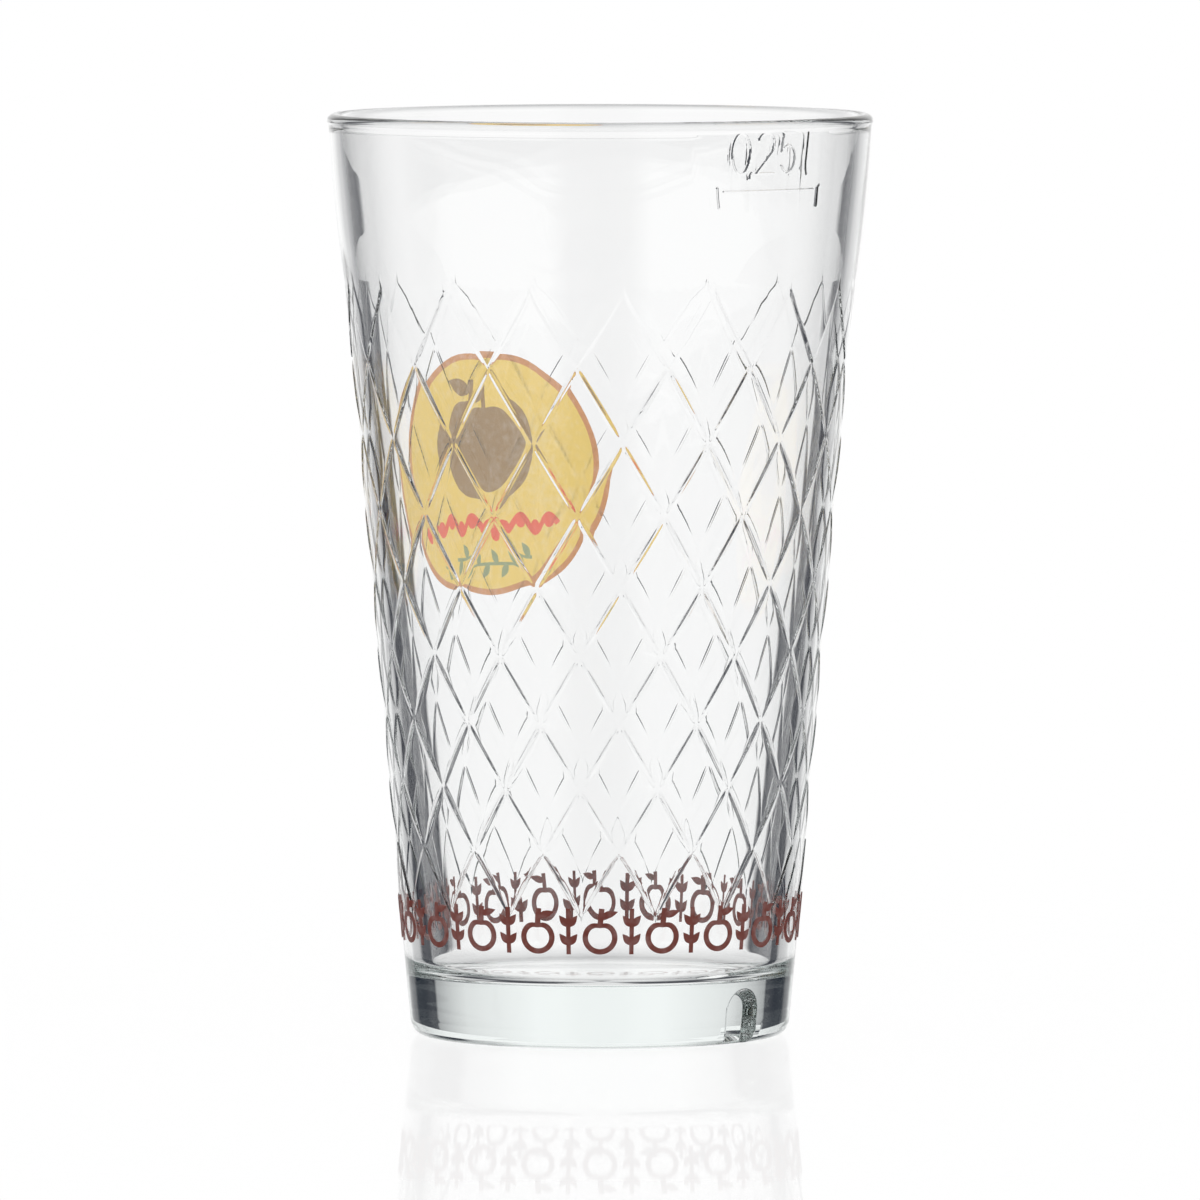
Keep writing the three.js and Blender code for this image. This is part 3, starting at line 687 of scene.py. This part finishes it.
def leaf_outline(start, degrees, reach, width, steps=8):
    """Pointed leaf that grows from a point in a direction"""
    edge = []
    for step in range(steps + 1):
        share = step / steps
        edge.append((reach * share, width / 2 * math.sin(math.pi * share ** LEAF_POWER)))
    points = [(x, -y) for x, y in edge] + edge[-2:0:-1]
    rotation = Matrix.Rotation(math.radians(degrees), 2)
    return [Vector(start) + rotation @ Vector(point) for point in points]


def stroke_outline(points, width):
    """Outline of a line of even width"""
    left, right = [], []
    for place, point in enumerate(points):
        before = points[max(place - 1, 0)]
        after = points[min(place + 1, len(points) - 1)]
        direction = (after - before).normalized()
        side = Vector((-direction.y, direction.x)) * width / 2
        left.append(point + side)
        right.append(point - side)
    return right + left[::-1]


# Output type of the triangulation that keeps only the triangles inside the outlines
INSIDE_TRIANGLES = 1
# Distance between the lines along which a flat print is cut, so that it can bend
PRINT_GRID = 0.5 * MM


def fill_outlines(layers):
    """Flat meshes of outlines that may overlap: a later layer takes the area from an earlier one"""
    points, faces, owner = [], [], []
    for name, outlines in layers:
        for outline in outlines:
            faces.append(list(range(len(points), len(points) + len(outline))))
            points += outline
            owner.append(name)
    names = [name for name, _ in layers]
    filled = geometry.delaunay_2d_cdt(points, [], faces, INSIDE_TRIANGLES, CUT_DISTANCE)
    coords, triangles, origins = filled[0], filled[2], filled[5]
    meshes = {}
    for name in names:
        work = bmesh.new()
        verts = {}
        for triangle, origin in zip(triangles, origins):
            top = max(names.index(owner[face]) for face in origin) if origin else -1
            if top >= 0 and names[top] == name:
                corners = []
                for place in triangle:
                    if place not in verts:
                        verts[place] = work.verts.new((*coords[place], 0))
                    corners.append(verts[place])
                work.faces.new(corners)
        if work.faces:
            cut_grid(work)
        meshes[name] = work
    return meshes


def cut_grid(work):
    """Cuts a flat mesh along the lines of a square grid"""
    for axis in (Vector((1, 0, 0)), Vector((0, 1, 0))):
        levels = [vert.co.dot(axis) / PRINT_GRID for vert in work.verts]
        for line in range(math.ceil(min(levels)), math.floor(max(levels)) + 1):
            everything = work.verts[:] + work.edges[:] + work.faces[:]
            bmesh.ops.bisect_plane(
                work, geom=everything, dist=CUT_DISTANCE, plane_co=axis * line * PRINT_GRID,
                plane_no=axis
            )


# Heights of an enamel print's underside and top over the glass
ENAMEL_GAP = 0.02 * MM
ENAMEL_RISE = 0.14 * MM


def wrap_print(work, wall, centre_angle, base_height):
    """Thickens a flat motif and lays it on the outer surface of the glass"""
    bmesh.ops.triangulate(work, faces=[face for face in work.faces if len(face.verts) > 4])
    grown = bmesh.ops.extrude_face_region(work, geom=work.faces[:])["geom"]
    top = {item for item in grown if isinstance(item, bmesh.types.BMVert)}
    wall_radius = wall.envelope(base_height)
    for vert in work.verts:
        around = centre_angle + vert.co.x / wall_radius
        lift = ENAMEL_RISE if vert in top else ENAMEL_GAP
        vert.co = wall.place(around, base_height + vert.co.y, lift)


def apple_with_stem(centre, width, height, stem, stroke, leaf_length, leaf_width):
    """An apple, its leaning stem and the leaf that grows from the stem's middle"""
    crown = Vector((centre[0], centre[1] + height / 2 * CROWN_SHARE))
    tip = crown + Vector((stroke / 3, stem))
    return [
        apple_outline(width, height, centre),
        stroke_outline([crown - Vector((0, stroke)), crown.lerp(tip, 0.5), tip], stroke),
        leaf_outline(crown.lerp(tip, 0.45), 17, leaf_length, leaf_width),
    ]


def vine_outlines():
    """The label's waving line with a berry at each crest"""
    width, wave_height, level = 24 * MM, 1.3 * MM, -6.8 * MM
    stroke, berry = 0.9 * MM, 1.9 * MM
    crests, crest_steps = 8, 8
    steps = crests * crest_steps
    path = []
    for step in range(steps + 1):
        share = step / steps
        wave = wave_height * math.sin(crests * math.pi * share)
        path.append(Vector(((share - 0.5) * width, wave + level)))
    outlines = [stroke_outline(path, stroke)]
    for crest in range(crests):
        point = path[crest_steps // 2 + crest_steps * crest]
        side = -berry / 2 if crest % 2 == 0 else berry / 2
        outlines.append(oval(berry, berry, 16, (point.x, point.y + side)))
    return outlines


def twig_outlines():
    """The label's level twig with leaves above and below in turn"""
    width, stroke, level = 13 * MM, 0.45 * MM, -11.6 * MM
    leaf_length, leaf_width, leaf_degrees = 2.6 * MM, 1.3 * MM, 52
    leaves = 6
    stem = [Vector((-width / 2, level)), Vector((0, level)), Vector((width / 2, level))]
    outlines = [stroke_outline(stem, stroke)]
    for place in range(leaves):
        x = width * ((place + 0.5) / leaves - 0.5) - leaf_width / 2
        degrees = leaf_degrees if place % 2 == 0 else -leaf_degrees
        outlines.append(leaf_outline((x, level), degrees, leaf_length, leaf_width))
    return outlines


def label_layers(label):
    """The label's colours, from the border inwards"""
    ground = (label.width - 2 * label.border, label.height - 2 * label.border)
    apple = apple_with_stem(
        centre=(0, 3.6 * MM), width=14.5 * MM, height=13 * MM, stem=3.2 * MM, stroke=0.9 * MM,
        leaf_length=6 * MM, leaf_width=2.4 * MM
    )
    return [
        ("label_border", [oval(label.width, label.height, steps=96)]),
        ("label_ground", [oval(*ground, steps=96)]),
        ("label_apple", apple),
        ("label_vine", vine_outlines()),
        ("label_twig", twig_outlines()),
    ]


def frieze_apple_layers(frieze):
    """An outlined apple with its stem and leaf"""
    middle = frieze.apple_height / 2
    outlines = apple_with_stem(
        centre=(0, middle), width=frieze.apple_width, height=frieze.apple_height,
        stem=frieze.tall_height - middle * (1 + CROWN_SHARE), stroke=frieze.stroke,
        leaf_length=2.3 * MM, leaf_width=0.95 * MM
    )
    hole = 2 * frieze.stroke
    opening = apple_outline(
        frieze.apple_width - hole, frieze.apple_height - hole, (0, middle), steps=32
    )
    return [("motif", outlines), ("opening", [opening])]


def frieze_sprig_layers(frieze):
    """A stem with two pairs of leaves"""
    leaf_length, leaf_width, stem_width = 1.9 * MM, 0.95 * MM, 0.8 * frieze.stroke
    stem = [Vector((0, 0)), Vector((0, frieze.tall_height / 2)), Vector((0, frieze.tall_height))]
    outlines = [stroke_outline(stem, stem_width)]
    tier = frieze.tall_height / 2.5
    for place in range(2):
        for degrees in (52, 128):
            start = (0, tier * (place + 0.5))
            outlines.append(leaf_outline(start, degrees, leaf_length, leaf_width))
    return [("motif", outlines)]


class TUMBLER_OT_glass_body(bpy.types.Operator):
    """Makes the pressed glass body with its ribs, fill mark and notch"""
    bl_idname = "tumbler.glass_body"
    bl_label = "Glass Body"

    def execute(self, context):
        glass = context.scene.tumbler_glass
        wall = Wall(glass)
        work = glass_shell(wall)
        raise_fill_mark(work, wall)
        sink_notch(work, wall)
        mesh = mesh_from(work, "pressed_glass", sharp_degrees=50)
        new_piece("pressed_glass", mesh, glass_material(glass.tint), ["glass_body"])
        return {"FINISHED"}


class TUMBLER_OT_label(bpy.types.Operator):
    """Makes the oval label in its five enamel colours"""
    bl_idname = "tumbler.label"
    bl_label = "Label"

    def execute(self, context):
        wall = Wall(context.scene.tumbler_glass)
        label = context.scene.tumbler_label
        tones = {
            "label_border": (label.rust, 0.35, "enamel_rust"),
            "label_ground": (label.ochre, 0.3, "enamel_ochre"),
            "label_apple": (label.sepia, 0.25, "enamel_sepia"),
            "label_vine": (label.red, 0.1, "enamel_red"),
            "label_twig": (label.green, 0.1, "enamel_green"),
        }
        for node, work in fill_outlines(label_layers(label)).items():
            tone, pale, slot = tones[node]
            wrap_print(work, wall, label.centre_angle, label.centre_height)
            name = node.replace("label", "printed_label")
            material = enamel_material(name, tuple(tone), paler(tone, pale))
            mesh = mesh_from(work, name, sharp_degrees=40)
            new_piece(name, mesh, material, [node])
        return {"FINISHED"}


class TUMBLER_OT_frieze(bpy.types.Operator):
    """Makes the apples and sprigs around the foot"""
    bl_idname = "tumbler.frieze"
    bl_label = "Frieze"

    def execute(self, context):
        wall = Wall(context.scene.tumbler_glass)
        frieze = context.scene.tumbler_frieze
        material = enamel_material("rust frieze enamel", tuple(frieze.rust), paler(frieze.rust, 0.12))
        for kind, layers, offset in (
            ("apple", frieze_apple_layers(frieze), 0.0),
            ("sprig", frieze_sprig_layers(frieze), 0.5),
        ):
            motif = fill_outlines(layers)["motif"]
            for unit in range(frieze.units):
                work = motif.copy()
                around = 2 * math.pi * (unit + offset) / frieze.units
                wrap_print(work, wall, around, frieze.base_height)
                name = f"printed_foot_{kind}_{unit + 1:02d}"
                node = f"foot_{kind}_{unit + 1:02d}"
                mesh = mesh_from(work, name, sharp_degrees=40)
                new_piece(name, mesh, material, [node])
        return {"FINISHED"}


def add_stage_object(name, work, material):
    """Links a finished object that belongs to the studio and not to the glass"""
    mesh = mesh_from(work, name)
    piece = bpy.data.objects.new(name, mesh)
    bpy.context.scene.collection.objects.link(piece)
    mesh.materials.append(material)
    return piece


# The table: how much of its own white it shows, how much it mirrors, and the shares of its radius
# at which it starts to fade and over which it fades
TABLE_GLOW = 0.9
TABLE_MIRROR = 0.13
FADE_START = 0.34
FADE_WIDTH = 0.4


def table_material(radius):
    """White table that mirrors a little, keeps a soft shadow and fades into the background"""
    material, base = new_material("white table")
    place = base.node("ShaderNodeTexCoord", output="Object")
    distance = base.node("ShaderNodeVectorMath", {"operation": "LENGTH"}, {0: place}, 1)
    fade = ((distance - radius * FADE_START) / (radius * FADE_WIDTH)).clamped()
    looked_at = base.node("ShaderNodeLightPath", output="Is Camera Ray")
    diffuse = base.node("ShaderNodeBsdfDiffuse", {}, {"Color": (0.98, 0.98, 0.98, 1)})
    white = base.node("ShaderNodeEmission", {}, {"Color": (1, 1, 1, 1), "Strength": 1.0})
    ground = base.node(
        "ShaderNodeMixShader", {}, {0: looked_at * TABLE_GLOW, 1: diffuse, 2: white}
    )
    mirror = base.node("ShaderNodeBsdfGlossy", {}, {"Color": (1, 1, 1, 1), "Roughness": 0.025})
    surface = base.node("ShaderNodeMixShader", {}, {0: TABLE_MIRROR, 1: ground, 2: mirror})
    through = base.node("ShaderNodeLightPath", output="Is Transmission Ray")
    mirrored = base.node("ShaderNodeLightPath", output="Is Glossy Ray")
    clear = base.node("ShaderNodeBsdfTransparent")
    amount = (fade + through + mirrored).clamped()
    finish_material(base, base.node("ShaderNodeMixShader", {}, {0: amount, 1: surface, 2: clear}))
    return material


# The cards around the glass, each as turn from the front in degrees and darkness there. Light that
# comes straight through the wall or the foot meets the narrow ones, and reflected light a dim room.
STRAIGHT_CARDS = ((0, 0.0), (100, 0.0), (105, 1.0), (165.5, 1.0), (168, 0.0))
ROOM_CARDS = (
    (0, 0.7), (14, 0.6), (24, 0.1), (75, 0.15), (90, 0.4), (110, 0.5), (122, 0.7), (130, 1.0),
    (143, 1.0), (147, 0.5), (156, 0.3), (163, 0.0),
)
FOOT_CARDS = (
    (0, 0.0), (98, 0.0), (104, 1.0), (131.5, 1.0), (132.5, 0.64), (140, 0.42), (147, 0.22),
    (157, 0.12), (167, 0.0),
)
FOOT_ROOM_CARDS = ((0, 0.8), (90, 0.8), (105, 0.0))

# Heights between which straight light through the wall and the foot, and reflected light at the
# foot, meet their cards
WALL_ZONE = (-0.6, 0.0)
FOOT_ZONE = (0.0, 0.5)
FOOT_ROOM_ZONE = (-0.32, 0.4)
# The dim floor below: the height where it starts, the drop to its full darkness, and that darkness
FLOOR_START = -0.3
FLOOR_DROP = 2.1
FLOOR_DARKNESS = 0.45
# Darkness of the two flat ends, and the distance from them that still counts as an end
END_DARKNESS = 0.2
END_MARGIN = 0.01
SLATE = (0.02, 0.024, 0.036)


def card_material(bottom, top):
    """Dark cards as a tone by direction and height, with soft edges"""
    material, base = new_material("dark cards")
    place = base.node("ShaderNodeTexCoord", output="Object")
    split = base.node("ShaderNodeSeparateXYZ", {}, {"Vector": place})
    x, y, z = (Socket(base.tree, output) for output in split.value.node.outputs)
    turn = x.maths("ABSOLUTE").maths("ARCTAN2", y * -1.0) * (1 / math.pi)
    straight, room, foot, foot_room = (
        base.node(
            "ShaderNodeValToRGB", {"stops": [(degrees / 180, tone) for degrees, tone in cards]},
            {"Fac": turn}
        )
        for cards in (STRAIGHT_CARDS, ROOM_CARDS, FOOT_CARDS, FOOT_ROOM_CARDS)
    )
    reflections = base.node("ShaderNodeLightPath", output="Glossy Depth")
    reflected = reflections.maths("GREATER_THAN", 0.5)
    enamel_light = base.node("ShaderNodeLightPath", output="Diffuse Depth")
    to_glass = enamel_light.maths("LESS_THAN", 0.5)
    direct = straight * z.between(*WALL_ZONE) + foot * z.between(*FOOT_ZONE)
    floor = ((FLOOR_START - z) / FLOOR_DROP).clamped() * FLOOR_DARKNESS
    middle = z.between(bottom + END_MARGIN, top - END_MARGIN)
    ends = (1 - middle) * END_DARKNESS
    around = room.larger(foot_room * z.between(*FOOT_ROOM_ZONE))
    seen = around * reflected + direct.larger(floor) * (1 - reflected)
    darkness = seen.larger(ends) * to_glass
    slate = base.node("ShaderNodeEmission", {}, {"Color": (*SLATE, 1), "Strength": 1.0})
    clear = base.node("ShaderNodeBsdfTransparent")
    finish_material(base, base.node("ShaderNodeMixShader", {}, {0: darkness, 1: clear, 2: slate}))
    return material


# Drop that keeps the table's face clear of the resting face, and focal length in millimetres
TABLE_DROP = 0.02 * MM
FOCAL_LENGTH = 483.6


class TUMBLER_OT_stage(bpy.types.Operator):
    """Makes the table, cards, lights and camera"""
    bl_idname = "tumbler.stage"
    bl_label = "Stage"

    def execute(self, context):
        stage = context.scene.tumbler_stage
        table = bmesh.new()
        bmesh.ops.create_circle(
            table, cap_ends=True, segments=96, radius=stage.table_radius,
            matrix=Matrix.Translation((0, 0, -TABLE_DROP))
        )
        add_stage_object("table", table, table_material(stage.table_radius))

        cards = bmesh.new()
        bmesh.ops.create_circle(
            cards, segments=128, radius=stage.card_distance,
            matrix=Matrix.Translation((0, 0, stage.card_bottom))
        )
        grown = bmesh.ops.extrude_edge_only(cards, edges=cards.edges[:])["geom"]
        tops = [item for item in grown if isinstance(item, bmesh.types.BMVert)]
        height = stage.card_top - stage.card_bottom
        bmesh.ops.translate(cards, verts=tops, vec=(0, 0, height))
        bmesh.ops.holes_fill(cards, edges=cards.edges[:])
        material = card_material(stage.card_bottom, stage.card_top)
        ring = add_stage_object("dark_cards", cards, material)
        ring.visible_camera = False
        ring.visible_diffuse = False
        ring.visible_shadow = False

        self.light_world(context.scene)
        self.place_camera(context.scene, stage)
        return {"FINISHED"}

    def light_world(self, scene):
        """White light from all around, and enough bounces for the glass"""
        world = bpy.data.worlds.new("white studio")
        scene.world = world
        world.use_nodes = True
        background = world.node_tree.nodes["Background"]
        background.inputs["Color"].default_value = (1, 1, 1, 1)
        background.inputs["Strength"].default_value = 1.0
        scene.view_settings.view_transform = "Standard"
        scene.cycles.max_bounces = 32
        scene.cycles.transmission_bounces = 32
        scene.cycles.glossy_bounces = 16
        scene.cycles.blur_glossy = 0

    def place_camera(self, scene, stage):
        """The photo's camera, fitted to the ellipses of the rim and the foot"""
        data = bpy.data.cameras.new("photo camera")
        data.sensor_width = 36
        data.lens = FOCAL_LENGTH
        data.clip_end = 20
        camera = bpy.data.objects.new("photo camera", data)
        scene.collection.objects.link(camera)
        pitch = stage.camera_pitch
        camera.location = (
            0, -stage.camera_distance * math.cos(pitch),
            stage.aim_height + stage.camera_distance * math.sin(pitch)
        )
        camera.rotation_euler = (math.pi / 2 - pitch, 0, 0)
        scene.camera = camera


OPERATORS = (
    TUMBLER_OT_glass_body,
    TUMBLER_OT_label,
    TUMBLER_OT_frieze,
    TUMBLER_OT_stage,
)


class TUMBLER_PT_panel(bpy.types.Panel):
    """Lists the pieces of the tumbler"""
    bl_idname = "TUMBLER_PT_panel"
    bl_label = "Apple Wine Tumbler"
    bl_space_type = "VIEW_3D"
    bl_region_type = "UI"
    bl_category = "Tumbler"

    def draw(self, context):
        for operator in OPERATORS:
            self.layout.operator(operator.bl_idname)


SETTINGS = {
    "tumbler_glass": TumblerGlassSettings,
    "tumbler_label": TumblerLabelSettings,
    "tumbler_frieze": TumblerFriezeSettings,
    "tumbler_stage": TumblerStageSettings,
}


def register():
    for cls in (*SETTINGS.values(), *OPERATORS, TUMBLER_PT_panel):
        bpy.utils.register_class(cls)
    for name, cls in SETTINGS.items():
        setattr(bpy.types.Scene, name, PointerProperty(type=cls))


def unregister():
    for name in SETTINGS:
        delattr(bpy.types.Scene, name)
    for cls in (TUMBLER_PT_panel, *reversed(OPERATORS), *SETTINGS.values()):
        bpy.utils.unregister_class(cls)


def main():
    register()
    bpy.ops.tumbler.glass_body()
    bpy.ops.tumbler.label()
    bpy.ops.tumbler.frieze()
    bpy.ops.tumbler.stage()


if __name__ == "__main__":
    main()
